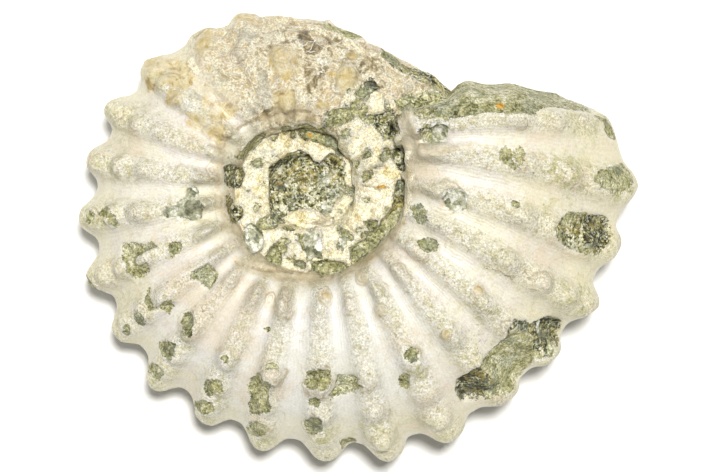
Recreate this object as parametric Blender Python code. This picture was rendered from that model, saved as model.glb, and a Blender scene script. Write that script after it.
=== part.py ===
"""A ribbed, tuberculate ammonite fossil, one solid, lying on its flank.

The shell is a tube wound on a logarithmic spiral. Every place on it is found from two numbers:
a rib phase, which is a whole number on each rib's crest and counts back from the aperture, and a
station, which is a point of the whorl's cross-section from the umbilical seam out to the venter.
Shares are parts of the local whorl radius, so that one cross-section serves the whole spiral.
"""

import math

import bmesh
import bpy
import numpy as np
from mathutils import Matrix, Vector

# Size and winding, in metres and degrees.
SHELL_RADIUS = 0.0681
WHORL_EXPANSION = 2.04

# Resting pose: how far the coiling axis leans, and how much of the lowest ribs is worn flat.
LEAN_ABOUT_X = 3.5
LEAN_ABOUT_Y = -6.4
WORN_FLAT = 0.0008

# The whorl's half section from the umbilical seam to the middle of the venter, in shares:
# distance from the coiling axis, height over the coiling plane, rib height, tubercle height.
# The next turn of the spiral covers a turn from the overlap station outwards.
OVERLAP_STATION = 5
STATIONS = np.array([
    (0.300, 0.172, 0.000, 0.000),
    (0.312, 0.250, 0.004, 0.000),
    (0.352, 0.318, 0.014, 0.004),
    (0.425, 0.354, 0.020, 0.030),
    (0.510, 0.362, 0.022, 0.004),
    (0.590, 0.354, 0.026, 0.004),
    (0.675, 0.326, 0.030, 0.030),
    (0.735, 0.294, 0.032, 0.004),
    (0.785, 0.258, 0.036, 0.022),
    (0.825, 0.218, 0.040, 0.004),
    (0.865, 0.172, 0.044, 0.022),
    (0.898, 0.116, 0.048, 0.004),
    (0.920, 0.060, 0.052, 0.020),
    (0.928, 0.000, 0.044, 0.000),
])

# The aperture's rim and then the ribs, from the aperture back: angle of the tip, lag of the
# umbilical end behind the tip, both in degrees, and the shares that the tip and the hollow beside
# it reach. The last four ribs are worn away on the venter.
RIBS = np.array([
    (-14.5, -23.0, 0.86, 0.86),
    (-13.0, -17.5, 0.90, 0.90),
    (0.0, -21.5, 1.00, 0.96),
    (11.5, -17.5, 0.98, 0.93),
    (23.0, -16.0, 0.99, 0.93),
    (35.0, -12.5, 0.97, 0.93),
    (46.5, -12.0, 0.98, 0.93),
    (60.5, -13.5, 0.99, 0.93),
    (73.5, -12.0, 1.00, 0.92),
    (86.5, -9.5, 0.99, 0.92),
    (100.5, -4.0, 0.99, 0.92),
    (114.0, -2.5, 1.00, 0.92),
    (128.0, 0.0, 1.00, 0.92),
    (142.5, -1.0, 1.00, 0.92),
    (156.5, 0.0, 1.01, 0.92),
    (172.0, 0.0, 1.00, 0.92),
    (187.0, 1.0, 1.00, 0.92),
    (201.5, 2.0, 1.00, 0.91),
    (217.0, 2.0, 0.97, 0.90),
    (235.0, 1.0, 0.93, 0.89),
    (248.0, 0.0, 0.93, 0.87),
    (262.0, 0.0, 0.87, 0.86),
    (277.0, 0.0, 0.86, 0.85),
    (292.0, 0.0, 0.84, 0.84),
    (306.0, 0.0, 0.86, 0.86),
])
RIBS_IN_A_TURN = len(RIBS) - 1
RIM_PHASE = -0.3
LAG_STARTS_AT_SHARE = 0.95
LAG_CURVE = 1.25
FULL_RIB_SHARE = 0.07
HIGHEST_RIB = 1.2
TUBERCLE_SHARPNESS = 4

# The notch in the outline, where the aperture's rock meets the turn before it.
NOTCH_ANGLE = 326.0
NOTCH_SHARE = 0.99

# Mesh density.
COLUMNS_IN_A_RIB = 5
TURN_COLUMNS = COLUMNS_IN_A_RIB * RIBS_IN_A_TURN
PLUG_RINGS = 2
FACE_RINGS = 4

# Rock that fills the aperture bulges ahead of the last rib, and rock fills the innermost whorls.
FACE_BULGE = 0.0030
FACE_BULGE_LEAN = 0.7
PLUG_HEIGHT = 0.0062

# Broken and spalled places of the upper flank: rib phase, share, half widths and depth in metres.
# They reach full depth inside the half widths and end a little outside them.
SPALL_EDGE = 0.25
SPALLS = (
    (0.0, 0.42, 0.25, 0.030, 0.0014),
    (2.05, 0.44, 0.25, 0.030, 0.0016),
    (1.95, 0.85, 0.35, 0.065, 0.0016),
    (4.60, 0.85, 0.95, 0.065, 0.0022),
    (13.90, 0.53, 0.32, 0.060, 0.0015),
)

# Finish: chalky white shell, here and there stained by greenish sandstone.
SHELL_COLOUR = (0.78, 0.72, 0.60, 1.0)
SHELL_ROUGHNESS = 0.5


def clear_scene():
    for thing in list(bpy.data.objects):
        bpy.data.objects.remove(thing)


def by_phase(column, phase):
    """Reads a column of RIBS at any phase of the outer turn. It ends on the rim one turn back."""
    places = np.concatenate([[RIM_PHASE], np.arange(RIBS_IN_A_TURN), [RIBS_IN_A_TURN + RIM_PHASE]])
    seam_angle = 360 + RIBS[0, 0] + RIBS[0, 1]
    ends = (NOTCH_ANGLE, seam_angle - NOTCH_ANGLE, NOTCH_SHARE, NOTCH_SHARE)
    return np.interp(phase, places, np.append(RIBS[:, column], ends[column]))


def lag_share(share):
    """How much of a rib's lag it has at this share: none at the venter, all at the seam."""
    inward = (LAG_STARTS_AT_SHARE - share) / (LAG_STARTS_AT_SHARE - STATIONS[0, 0])
    return np.clip(inward, 0, 1) ** LAG_CURVE


def spiral_angle(phase, share):
    """Angle of a place on the spiral, in degrees clockwise from the tip of the second rib."""
    phase, share = np.broadcast_arrays(phase, share)
    covered = phase > RIBS_IN_A_TURN + RIM_PHASE
    angle = by_phase(0, phase) + by_phase(1, phase) * lag_share(share)
    seam = phase - RIBS_IN_A_TURN
    return np.where(covered, 360 + by_phase(0, seam) + by_phase(1, seam), angle)


def whorl_scale(angle):
    """Whorl radius at this angle of the logarithmic spiral, in metres."""
    return SHELL_RADIUS * WHORL_EXPANSION ** (-angle / 360)


def section_normals():
    """Outward unit normals of the half section. The seam, which lies in a corner, has none."""
    run = np.gradient(STATIONS[:, :2], axis=0)
    run[-1] = (0.0, -1.0)
    normals = np.stack([-run[:, 1], run[:, 0]], axis=1)
    normals /= np.linalg.norm(normals, axis=1, keepdims=True)
    normals[0] = 0
    return normals


def spall_depth(phase, share):
    """How deep the spalled places lie below the shell, in metres."""
    depth = np.zeros(np.broadcast(phase, share).shape)
    for at_phase, at_share, half_phase, half_share, deep in SPALLS:
        reach = np.maximum(abs(phase - at_phase) / half_phase, abs(share - at_share) / half_share)
        depth = np.maximum(depth, deep * np.clip((1 + SPALL_EDGE - reach) / SPALL_EDGE, 0, 1))
    return depth


def half_whorl(phase, side):
    """Points of one side of the whorl, in columns of constant phase and rows of stations."""
    phase = np.asarray(phase, float)[:, None]
    share, height, rib, tubercle = STATIONS.T
    normal = section_normals()
    outward = np.clip((share - share[OVERLAP_STATION]) / (share[-1] - share[OVERLAP_STATION]), 0, 1)
    tip, hollow = by_phase(2, phase), by_phase(3, phase)
    venter_rise = np.clip((tip - hollow) / FULL_RIB_SHARE, 0, HIGHEST_RIB)
    crest = 0.5 + 0.5 * np.cos(2 * math.pi * phase)
    rise = rib * crest + tubercle * crest ** TUBERCLE_SHARPNESS
    rise = rise * (1 - outward * (1 - venter_rise))
    angle = spiral_angle(phase, share)
    scale = whorl_scale(angle)
    rise = rise * scale
    if side > 0:
        rise = rise - spall_depth(phase, share)
    away = (share - (share[-1] - hollow) * outward ** 2) * scale + rise * normal[:, 0]
    up = height * scale + rise * normal[:, 1]
    turn = np.radians(angle)
    return np.stack([away * np.cos(turn), -away * np.sin(turn), side * up], axis=-1)


def add_face(mesh, *corners):
    """One face. A corner that is given twice is kept once, and a face with no area is left out."""
    distinct = list(dict.fromkeys(corners))
    if len(distinct) > 2:
        mesh.faces.new(distinct)


def add_strip(mesh, first, second):
    """Faces between two rows of points of the same length."""
    for corners in zip(first, first[1:], second[1:], second):
        add_face(mesh, *corners)


def add_fan(mesh, many, few):
    """Faces between two rows of unlike length that share both of their end points."""
    a = b = 0
    while a < len(many) - 1 or b < len(few) - 1:
        if b == len(few) - 1 or (a + 1) * (len(few) - 1) <= (b + 1) * (len(many) - 1):
            add_face(mesh, many[a], many[a + 1], few[b])
            a += 1
        else:
            add_face(mesh, many[a], few[b + 1], few[b])
            b += 1


def add_side(mesh, side, venter):
    """Both turns of one side, as a grid of points by column and row, joined by faces.

    The inner turn has rows only up to its overlap station, where it meets the seam of the outer
    turn. The points of the venter are shared with the other side, if that is made already.
    """
    phases = RIM_PHASE + np.arange(2 * TURN_COLUMNS + 1) / COLUMNS_IN_A_RIB
    places = half_whorl(phases, side)
    venter_row = len(STATIONS) - 1
    grid = {}
    for column in range(2 * TURN_COLUMNS + 1):
        rows = range(venter_row + 1 if column <= TURN_COLUMNS else OVERLAP_STATION + 1)
        for row in rows:
            if column >= TURN_COLUMNS and row == OVERLAP_STATION:
                grid[column, row] = grid[column - TURN_COLUMNS, 0]
            elif venter and row == venter_row:
                grid[column, row] = venter[column, row]
            else:
                grid[column, row] = mesh.verts.new(places[column, row])
    for column in range(2 * TURN_COLUMNS):
        rows = range(venter_row + 1 if column < TURN_COLUMNS else OVERLAP_STATION + 1)
        add_strip(mesh, [grid[column, row] for row in rows], [grid[column + 1, row] for row in rows])
    return grid


def add_plug(mesh, grid, side):
    """Rock that closes the umbilicus inside the inner turn, as rings drawn in to its middle."""
    rim = [grid[column, 0] for column in range(TURN_COLUMNS, 2 * TURN_COLUMNS)]
    rim += [grid[2 * TURN_COLUMNS, row] for row in range(OVERLAP_STATION)]
    middle = sum((point.co for point in rim), Vector()) / len(rim)
    middle.z = side * PLUG_HEIGHT
    last = rim
    for ring in range(1, PLUG_RINGS):
        points = [mesh.verts.new(point.co.lerp(middle, ring / PLUG_RINGS)) for point in rim]
        add_strip(mesh, last + last[:1], points + points[:1])
        last = points
    hub = mesh.verts.new(middle)
    for a, b in zip(last, last[1:] + last[:1]):
        add_face(mesh, a, b, hub)


def rim_and_ledge(top, under):
    """The aperture's rim, and the line on the turn before it where the aperture's rock ends."""
    venter_row = len(STATIONS) - 1
    rim = [top[0, row] for row in range(venter_row)]
    rim += [under[0, row] for row in range(venter_row, -1, -1)]
    ledge = [top[TURN_COLUMNS, row] for row in range(OVERLAP_STATION, venter_row)]
    ledge += [under[TURN_COLUMNS, row] for row in range(venter_row, OVERLAP_STATION - 1, -1)]
    return rim, ledge


def add_aperture_face(mesh, rim, ledge):
    """Rock that fills the aperture, as rings from the rim to the ledge that bulge between them."""
    outer = np.array([point.co for point in rim])
    inner = np.array([point.co for point in ledge])
    lengths = np.linalg.norm(np.diff(inner, axis=0), axis=1)
    along_ledge = np.concatenate([[0], np.cumsum(lengths)]) / lengths.sum()
    along_rim = np.linspace(0, 1, len(rim))
    inner = np.stack([np.interp(along_rim, along_ledge, inner[:, axis]) for axis in range(3)], axis=1)
    fullness = np.sqrt(np.sin(math.pi * along_rim))
    last = rim
    for ring in range(1, FACE_RINGS):
        part = ring / FACE_RINGS
        places = outer * (1 - part) + inner * part
        places[:, 1] += FACE_BULGE * math.sin(math.pi * part ** FACE_BULGE_LEAN) * fullness
        points = [rim[0], *(mesh.verts.new(place) for place in places[1:-1]), rim[-1]]
        add_strip(mesh, last, points)
        last = points
    add_fan(mesh, last, ledge)


def build_skin():
    """The whole closed surface: two turns on both sides, two plugs and the aperture's face."""
    mesh = bmesh.new()
    top = add_side(mesh, 1, None)
    under = add_side(mesh, -1, top)
    add_plug(mesh, top, 1)
    add_plug(mesh, under, -1)
    add_aperture_face(mesh, *rim_and_ledge(top, under))
    bmesh.ops.recalc_face_normals(mesh, faces=mesh.faces)
    bmesh.ops.triangulate(mesh, faces=mesh.faces)
    return mesh


def lay_down(mesh):
    """Leans the shell as it rests, wears its lowest ribs flat and centres it over the origin."""
    lean = (Matrix.Rotation(math.radians(LEAN_ABOUT_X), 3, "X")
            @ Matrix.Rotation(math.radians(LEAN_ABOUT_Y), 3, "Y"))
    bmesh.ops.rotate(mesh, verts=mesh.verts, cent=Vector(), matrix=lean)
    places = np.array([point.co for point in mesh.verts])
    places[:, 2] = np.maximum(places[:, 2] - places[:, 2].min() - WORN_FLAT, 0)
    places[:, :2] -= (places[:, :2].max(axis=0) + places[:, :2].min(axis=0)) / 2
    for point, place in zip(mesh.verts, places):
        point.co = place


def shell_material():
    material = bpy.data.materials.new("fossil_shell")
    material.use_nodes = True
    shader = material.node_tree.nodes["Principled BSDF"]
    shader.inputs["Base Color"].default_value = SHELL_COLOUR
    shader.inputs["Roughness"].default_value = SHELL_ROUGHNESS
    shader.inputs["Metallic"].default_value = 0.0
    return material


def main():
    clear_scene()
    skin = build_skin()
    lay_down(skin)
    mesh = bpy.data.meshes.new("ammonite")
    skin.to_mesh(mesh)
    skin.free()
    mesh.materials.append(shell_material())
    mesh.shade_smooth()
    ammonite = bpy.data.objects.new("ammonite", mesh)
    collection = bpy.data.collections.new("ribbed_ammonite_fossil")
    bpy.context.scene.collection.children.link(collection)
    collection.objects.link(ammonite)


main()
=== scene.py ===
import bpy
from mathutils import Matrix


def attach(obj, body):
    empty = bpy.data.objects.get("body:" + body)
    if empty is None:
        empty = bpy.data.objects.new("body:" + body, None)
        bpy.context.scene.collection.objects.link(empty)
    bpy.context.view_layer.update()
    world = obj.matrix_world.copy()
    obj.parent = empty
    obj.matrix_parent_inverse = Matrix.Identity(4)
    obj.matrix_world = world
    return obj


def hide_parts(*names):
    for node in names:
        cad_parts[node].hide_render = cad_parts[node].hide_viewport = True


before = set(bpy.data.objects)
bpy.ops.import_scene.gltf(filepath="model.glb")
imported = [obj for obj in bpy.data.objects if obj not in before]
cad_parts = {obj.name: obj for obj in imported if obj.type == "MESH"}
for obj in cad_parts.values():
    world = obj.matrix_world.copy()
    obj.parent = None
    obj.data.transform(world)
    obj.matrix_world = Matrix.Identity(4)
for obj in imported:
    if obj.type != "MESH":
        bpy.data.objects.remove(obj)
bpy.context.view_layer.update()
print("frame loaded")

import math

import bmesh
import bpy
import numpy as np
from mathutils import Vector

# The photograph's frame: a pixel's size on the object, the pixel over the world's origin, and how
# far off the lens is.
view = {
    "pixel": 0.000205, "middle": (354.0, 236.0), "origin": (358.0, 237.5), "width": 708,
    "focus": 0.027, "distance": 2.0, "sensor": 36.0,
}

# The spiral and the whorl's section. A station is its share of the whorl radius from the axis, its
# height over the coiling plane, and how high a rib stands there.
whorl = {
    "radius": 0.0681, "growth": 2.04, "lean": (3.5, -6.4), "wornFlat": 0.0008,
    "overlap": 5, "rimPhase": -0.3, "ribs": 24, "notch": (326.0, 0.99), "innerRelief": 0.35,
    "mouthFlat": 0.35, "mouthEnd": 6.0, "wornFrom": 18, "wornTubercle": 0.45, "tubercleSizes": (0.35, 1.25),
    "ribRound": 0.45, "ribTop": 0.85, "lagStart": 0.95, "lagCurve": 1.25, "fullRib": 0.07, "highestRib": 1.2,
    "seamBend": 12.0, "rowBend": 1.5, "seamEase": 4,
    "stations": [
        (0.3, 0.172, 0.0), (0.312, 0.25, 0.004), (0.352, 0.318, 0.012), (0.425, 0.354, 0.016),
        (0.51, 0.362, 0.018), (0.59, 0.354, 0.021), (0.675, 0.326, 0.025), (0.735, 0.294, 0.029),
        (0.785, 0.258, 0.034), (0.825, 0.218, 0.04), (0.865, 0.172, 0.044), (0.898, 0.116, 0.048),
        (0.92, 0.06, 0.052), (0.928, 0.0, 0.044),
    ],
    # the tubercles of a rib: station row, height, and half width in rows
    "tubercles": [
        (3.0, 0.05, 0.32), (6.0, 0.046, 0.32), (8.0, 0.042, 0.34), (10.0, 0.04, 0.38), (12.0, 0.022, 0.5)],
    "tubercleSeed": 5, "pointed": 1.6, "alongRib": 2.2,
    # the rim, then each rib back from it: tip angle, lag of its inner end, shares of tip and hollow
    "ribTable": [
        (-14.5, -23.0, 0.86, 0.86), (-13.0, -17.5, 0.9, 0.9), (0.0, -21.5, 1.0, 0.96),
        (11.5, -17.5, 0.98, 0.93), (23.0, -16.0, 0.99, 0.93), (35.0, -12.5, 0.97, 0.93),
        (46.5, -12.0, 0.98, 0.93), (60.5, -13.5, 0.99, 0.93), (73.5, -12.0, 1.0, 0.92),
        (86.5, -9.5, 0.99, 0.92), (100.5, -4.0, 0.99, 0.92), (114.0, -2.5, 1.0, 0.92),
        (128.0, 0.0, 1.0, 0.92), (142.5, -1.0, 1.0, 0.92), (156.5, 0.0, 1.01, 0.92),
        (172.0, 0.0, 1.0, 0.92), (187.0, 1.0, 1.0, 0.92), (201.5, 2.0, 1.0, 0.91),
        (217.0, 2.0, 0.97, 0.9), (235.0, 1.0, 0.93, 0.89), (248.0, 0.0, 0.93, 0.87),
        (262.0, 0.0, 0.87, 0.86), (277.0, 0.0, 0.86, 0.85), (292.0, 0.0, 0.84, 0.84),
        (306.0, 0.0, 0.86, 0.86),
    ],
}
stations = np.array(whorl["stations"])
ribTable = np.array(whorl["ribTable"])
lastStation = len(stations) - 1
oneTurn = whorl["ribs"] + whorl["rimPhase"]  # the rib phase at which the inner turn begins

# How finely the skin is divided: columns in a rib, rows inside and outside the overlap on the top
# and the underside, and rings of the rock in the aperture and in the umbilicus.
grid = {"columns": 20, "top": (34, 56), "under": (16, 28), "faceRings": 22, "plugRings": (8, 3)}

aperture = {
    "bulge": 0.003, "lean": 0.7, "plugHeight": 0.0062,
    # how far the rock stands out of this or falls short of it: pixel column, half width, metres
    "swells": [(467.0, 15.0, 0.0018), (508.0, 20.0, 0.0008), (577.0, 30.0, -0.002)],
}


def smoothStep(value, low, high):
    # 0 below low, 1 above high, and an S between
    part = np.clip((value - low) / (high - low), 0, 1)
    return part * part * (3 - 2 * part)


def lumps(points, size, seed):
    # value noise from -1 to 1: random numbers on a lattice of this size, blended between corners
    table = np.random.default_rng(seed).uniform(-1, 1, 4096)
    cell = np.floor(points / size).astype(np.int64)
    part = points / size - cell
    part = part * part * (3 - 2 * part)
    total = 0
    for corner in range(8):
        offset = np.array([(corner >> axis) & 1 for axis in range(3)])
        weight = np.prod(np.where(offset, part, 1 - part), axis=-1)
        spot = (cell + offset) * (73856093, 19349663, 83492791)
        total = total + weight * table[(spot[..., 0] ^ spot[..., 1] ^ spot[..., 2]) & 4095]
    return total


def throughKnots(knots, at):
    # a smooth curve through the section's knots: the cubic between two of them whose slopes are
    # half the difference of the knots on either side, mirrored at the venter
    before = 2 * knots[0] - knots[1]
    after = knots[-2] * (1, -1, 1)
    padded = np.vstack([before, knots, after])
    left = np.clip(np.floor(at).astype(int), 0, len(knots) - 2)
    t = (at - left)[:, None]
    a, b, c, d = (padded[left + step] for step in range(4))
    return 0.5 * (2 * b + (c - a) * t + (2 * a - 5 * b + 4 * c - d) * t**2 + (3 * b - a - 3 * c + d) * t**3)


def byPhase(column, phase):
    # a column of the rib table at any phase of the outer turn, which ends on the rim one turn back
    ribs, rim = whorl["ribs"], whorl["rimPhase"]
    places = np.concatenate([[rim], np.arange(ribs), [ribs + rim]])
    notchAngle, notchShare = whorl["notch"]
    seamAngle = 360 + ribTable[0, 0] + ribTable[0, 1]
    ends = (notchAngle, seamAngle - notchAngle, notchShare, notchShare)
    return np.interp(phase, places, np.append(ribTable[:, column], ends[column]))


def halfWhorl(phase, row, side):
    # one side of the tube. Share and height of the section, times the spiral's radius at the
    # place's angle, pushed out along the section's normal by the rib's crest and its tubercles
    phase = phase[:, None]
    share, height, rib = throughKnots(stations, row).T
    run = np.gradient(np.stack([share, height], axis=1), row, axis=0)
    run[-1] = (0, -1)
    normal = np.stack([-run[:, 1], run[:, 0]], axis=1) / np.linalg.norm(run, axis=1, keepdims=True)
    normal *= np.clip(row, 0, 1)[:, None]
    inner, outer = stations[whorl["overlap"], 0], stations[-1, 0]
    outward = np.clip((share - inner) / (outer - inner), 0, 1)
    tip, hollow = byPhase(2, phase), byPhase(3, phase)
    venterRise = np.clip((tip - hollow) / whorl["fullRib"], 0, whorl["highestRib"])
    crest = 0.5 + 0.5 * np.cos(2 * math.pi * phase)
    broad = whorl["ribRound"] * crest + (1 - whorl["ribRound"]) * smoothStep(crest, 0, whorl["ribTop"])
    rise = np.maximum(rib, 0) * broad
    ribNumber = np.round(phase).astype(int) % whorl["ribs"]
    for number, (at, high, half) in enumerate(whorl["tubercles"]):
        draw = np.random.default_rng([whorl["tubercleSeed"], number])
        sizes = draw.uniform(*whorl["tubercleSizes"], whorl["ribs"])
        sizes[whorl["wornFrom"]:] *= whorl["wornTubercle"]
        across = np.exp(-((row - at) / half / whorl["pointed"]) ** 2)
        rise = rise + high * sizes[ribNumber] * across * crest ** whorl["alongRib"]
    rise = rise * (1 - outward * (1 - venterRise))
    nearMouth = 1 - smoothStep(phase, 1.0, whorl["mouthEnd"])
    rise = rise * (1 - whorl["mouthFlat"] * nearMouth * (1 - outward))
    rise = rise * np.where(phase > oneTurn, whorl["innerRelief"], 1)
    inward = (whorl["lagStart"] - share) / (whorl["lagStart"] - stations[0, 0])
    lag = np.clip(inward, 0, 1) ** whorl["lagCurve"]
    angle = byPhase(0, phase) + byPhase(1, phase) * lag
    back = phase - whorl["ribs"]
    seam = 360 + byPhase(0, back) + byPhase(1, back) + 0 * lag
    angle = np.where(phase > oneTurn, seam, angle)
    scale = whorl["radius"] * whorl["growth"] ** (-angle / 360)
    away = (share - (outer - hollow) * outward**2 + rise * normal[:, 0]) * scale
    up = (height + rise * normal[:, 1]) * scale
    turn = np.radians(angle)
    return np.stack([away * np.cos(turn), -away * np.sin(turn), side * up], axis=-1)


# The skin is gathered in these lists: points, triangles, and for each point its rib phase, its
# section row, and which part of the fossil it belongs to.
skin = {"points": [], "triangles": [], "phase": [], "row": [], "part": []}
parts = {"top": 0, "under": 1, "face": 2, "topPlug": 3, "underPlug": 4}


def addPoints(points, phase, row, part):
    # puts points on the list and gives back their numbers, in the same layout
    shape = points.shape[:-1]
    count = int(np.prod(shape))
    start = sum(len(block) for block in skin["points"])
    skin["points"].append(points.reshape(-1, 3))
    skin["phase"].append(np.broadcast_to(phase, shape).reshape(-1))
    skin["row"].append(np.broadcast_to(row, shape).reshape(-1))
    skin["part"].append(np.full(count, parts[part]))
    return np.arange(start, start + count).reshape(shape)


def addQuads(numbers):
    # two triangles for each square of a layout of numbers
    a, b, c, d = numbers[:-1, :-1], numbers[1:, :-1], numbers[1:, 1:], numbers[:-1, 1:]
    skin["triangles"].append(np.stack([a, b, c], axis=-1).reshape(-1, 3))
    skin["triangles"].append(np.stack([a, c, d], axis=-1).reshape(-1, 3))


def addSide(side, rows, part, venter):
    # both turns of one side. The inner turn's last row is the seam of the outer turn, and it bends
    # gently to meet it
    turn = grid["columns"] * whorl["ribs"]
    phase = whorl["rimPhase"] + np.arange(2 * turn + 1) / grid["columns"]
    points = halfWhorl(phase, rows, side)
    overlap = int(np.searchsorted(rows, whorl["overlap"]))
    seam = points[:turn + 1, 0]
    gap = seam - points[turn:, overlap]
    ease = (rows / whorl["overlap"]) ** whorl["seamEase"]
    points[turn:, :overlap + 1] += gap[:, None] * ease[:overlap + 1, None]
    nearColumn = np.exp(-((np.arange(turn) - turn) / whorl["seamBend"]) ** 2)[:, None]
    nearRow = np.exp(-((rows - rows[overlap]) / whorl["rowBend"]) ** 2)
    nearRow = np.where(rows < rows[overlap], ease, nearRow)
    points[:turn, :] += gap[0] * (nearColumn * nearRow)[..., None]
    points[turn, overlap + 1:] += gap[0] * nearRow[overlap + 1:, None]
    phaseGrid, rowGrid = phase[:, None], rows[None, :]
    if venter is None:
        outer = addPoints(points[:turn + 1], phaseGrid[:turn + 1], rowGrid, part)
    else:
        outer = addPoints(points[:turn + 1, :-1], phaseGrid[:turn + 1], rowGrid[:, :-1], part)
        outer = np.concatenate([outer, venter[:, None]], axis=1)
    outer[turn, overlap] = outer[0, 0]
    inner = addPoints(points[turn + 1:, :overlap], phaseGrid[turn + 1:], rowGrid[:, :overlap], part)
    inner = np.concatenate([inner, outer[1:turn + 1, :1]], axis=1)
    inner = np.concatenate([outer[turn:, :overlap + 1], inner])
    addQuads(outer)
    addQuads(inner)
    return outer, inner, overlap


def addPlug(inner, overlap, side, rings, part):
    # rock that closes the umbilicus: rings drawn in from its rim to its middle
    rim = np.concatenate([inner[:-1, 0], inner[-1, :overlap]])
    allPoints = np.concatenate(skin["points"])
    edge = allPoints[rim]
    middle = edge.mean(axis=0)
    middle[2] = side * aperture["plugHeight"]
    steps = np.arange(1, rings)[:, None, None] / rings
    points = edge * (1 - steps) + middle * steps
    numbers = np.vstack([rim, addPoints(points, 0, 0, part)])
    addQuads(np.hstack([numbers, numbers[:, :1]]))
    hub = addPoints(middle[None], 0, 0, part)[0]
    last = numbers[-1]
    skin["triangles"].append(np.stack([last, np.roll(last, -1), np.full(len(last), hub)], axis=-1))


def addFace(top, under, topOverlap, underOverlap, topRows, underRows):
    # rock that fills the aperture: rings from the rim to the ledge on the turn before, which bulge
    # ahead between them, and a fan to the ledge's own points
    allPoints = np.concatenate(skin["points"])
    rim = np.concatenate([top[0], under[0, -2::-1]])
    ledge = np.concatenate([top[-1, topOverlap:], under[-1, underOverlap:-1][::-1]])
    along = np.concatenate([topRows, 2 * lastStation - underRows[-2::-1]]) / (2 * lastStation)
    inner = allPoints[ledge]
    reach = np.append(0, np.cumsum(np.linalg.norm(np.diff(inner, axis=0), axis=1)))
    reach /= reach[-1]
    inner = np.stack([np.interp(along, reach, inner[:, axis]) for axis in range(3)], axis=1)
    step = (np.arange(1, grid["faceRings"]) / grid["faceRings"])[:, None, None]
    points = allPoints[rim] * (1 - step) + inner * step
    fullness = np.sqrt(np.maximum(np.sin(math.pi * along), 0))
    swell = np.sin(math.pi * step[..., 0] ** aperture["lean"]) * fullness
    points[..., 1] += aperture["bulge"] * swell
    ring = step[..., 0] + 0 * along
    numbers = addPoints(points[:, 1:-1], whorl["rimPhase"], ring[:, 1:-1], "face")
    ends = np.ones((len(numbers), 1), int)
    numbers = np.hstack([ends * rim[0], numbers, ends * rim[-1]])
    addQuads(np.vstack([rim, numbers]))
    many, few = numbers[-1], ledge
    key = np.concatenate([np.arange(1, len(edge)) / (len(edge) - 1) for edge in (many, few)])
    order = np.argsort(key, kind="stable")
    isMany = order < len(many) - 1
    a, b = np.cumsum(isMany) - isMany, np.cumsum(~isMany) - ~isMany
    third = np.where(isMany, few[b], few[np.minimum(b + 1, len(few) - 1)])
    second = np.where(isMany, many[np.minimum(a + 1, len(many) - 1)], few[b])
    skin["triangles"].append(np.stack([many[a], second, third], axis=-1))


def layDown(points):
    # leans the fossil as it rests, wears its lowest ribs flat and centres it over the origin
    (cosX, cosY), (sinX, sinY) = np.cos(np.radians(whorl["lean"])), np.sin(np.radians(whorl["lean"]))
    tiltX = np.array([[1, 0, 0], [0, cosX, -sinX], [0, sinX, cosX]])
    tiltY = np.array([[cosY, 0, sinY], [0, 1, 0], [-sinY, 0, cosY]])
    points = points @ (tiltX @ tiltY).T
    points[:, 2] -= points[:, 2].min() + whorl["wornFlat"]
    points[:, :2] -= (points[:, :2].max(axis=0) + points[:, :2].min(axis=0)) / 2
    return points


def rowsOf(inOverlap, outside):
    # section rows, evenly spaced in the overlap and again from there to the venter
    outerRows = np.linspace(whorl["overlap"], lastStation, outside + 1)
    return np.append(np.linspace(0, whorl["overlap"], inOverlap + 1), outerRows[1:])


topRows, underRows = rowsOf(*grid["top"]), rowsOf(*grid["under"])
topOuter, topInner, topOverlap = addSide(1, topRows, "top", None)
underOuter, underInner, underOverlap = addSide(-1, underRows, "under", topOuter[:, -1])
addPlug(topInner, topOverlap, 1, grid["plugRings"][0], "topPlug")
addPlug(underInner, underOverlap, -1, grid["plugRings"][1], "underPlug")
addFace(topOuter, underOuter, topOverlap, underOverlap, topRows, underRows)

points = layDown(np.concatenate(skin["points"]))
triangles = np.concatenate(skin["triangles"])
phase, row, part = (np.concatenate(skin[key]) for key in ("phase", "row", "part"))
triangles = triangles[(triangles != np.roll(triangles, 1, axis=1)).all(axis=1)]
used, triangles = np.unique(triangles, return_inverse=True)
triangles = triangles.reshape(-1, 3)
points, phase, row, part = points[used], phase[used], row[used], part[used]
print("skin:", len(points), "points,", len(triangles), "triangles")

mesh = bpy.data.meshes.new("ammoniteFossil")
mesh.from_pydata(points, [], triangles)
skinMesh = bmesh.new()
skinMesh.from_mesh(mesh)
bmesh.ops.recalc_face_normals(skinMesh, faces=skinMesh.faces)
skinMesh.to_mesh(mesh)
skinMesh.free()
normals = np.empty(len(points) * 3)
mesh.vertices.foreach_get("normal", normals)
normals = normals.reshape(-1, 3)


# where the camera stands over the floor
lensPlace = np.array([view["middle"][0] - view["origin"][0],
                      view["origin"][1] - view["middle"][1]]) * view["pixel"]


def photoPlace(points):
    # the pixel over a point, seen in perspective from straight above
    nearness = view["distance"] / (view["focus"] + view["distance"] - points[:, 2])
    across = (points[:, :2] - lensPlace) * nearness[:, None] / view["pixel"]
    return np.stack([view["middle"][0] + across[:, 0], view["middle"][1] - across[:, 1]], axis=1)


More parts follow.
